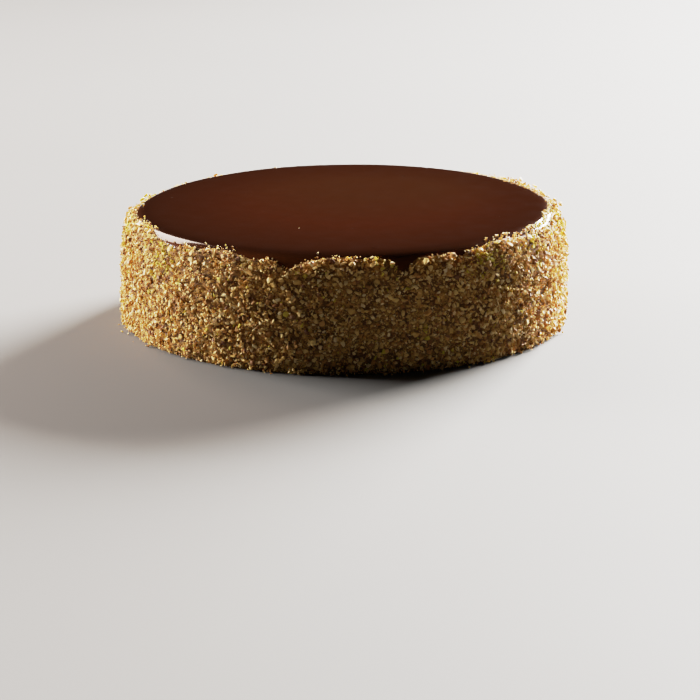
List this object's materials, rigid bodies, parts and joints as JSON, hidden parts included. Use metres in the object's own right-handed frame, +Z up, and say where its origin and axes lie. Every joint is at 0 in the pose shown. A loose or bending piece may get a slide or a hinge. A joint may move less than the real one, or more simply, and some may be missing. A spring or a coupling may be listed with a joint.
{
  "type": "tres leches cake",
  "caption": "Low round cake with a smooth dark glaze over its flat top and rounded shoulder, and a coat of chopped nuts all round its side.",
  "frame": {"origin": "centre of the flat underside, in the plane the cake stands on", "axes": "+Z up through the middle of the top; -Y towards the side shown to the camera; +X to the right seen from there"},
  "size_m": [0.2168, 0.2165, 0.0574],
  "materials": {
    "nut_coat": "matte",
    "glaze": "polished",
    "sponge": "matte"
  },
  "bodies": {
    "root": {"cake": "nut_coat", "glaze": "glaze"}
  },
  "joints": []
}
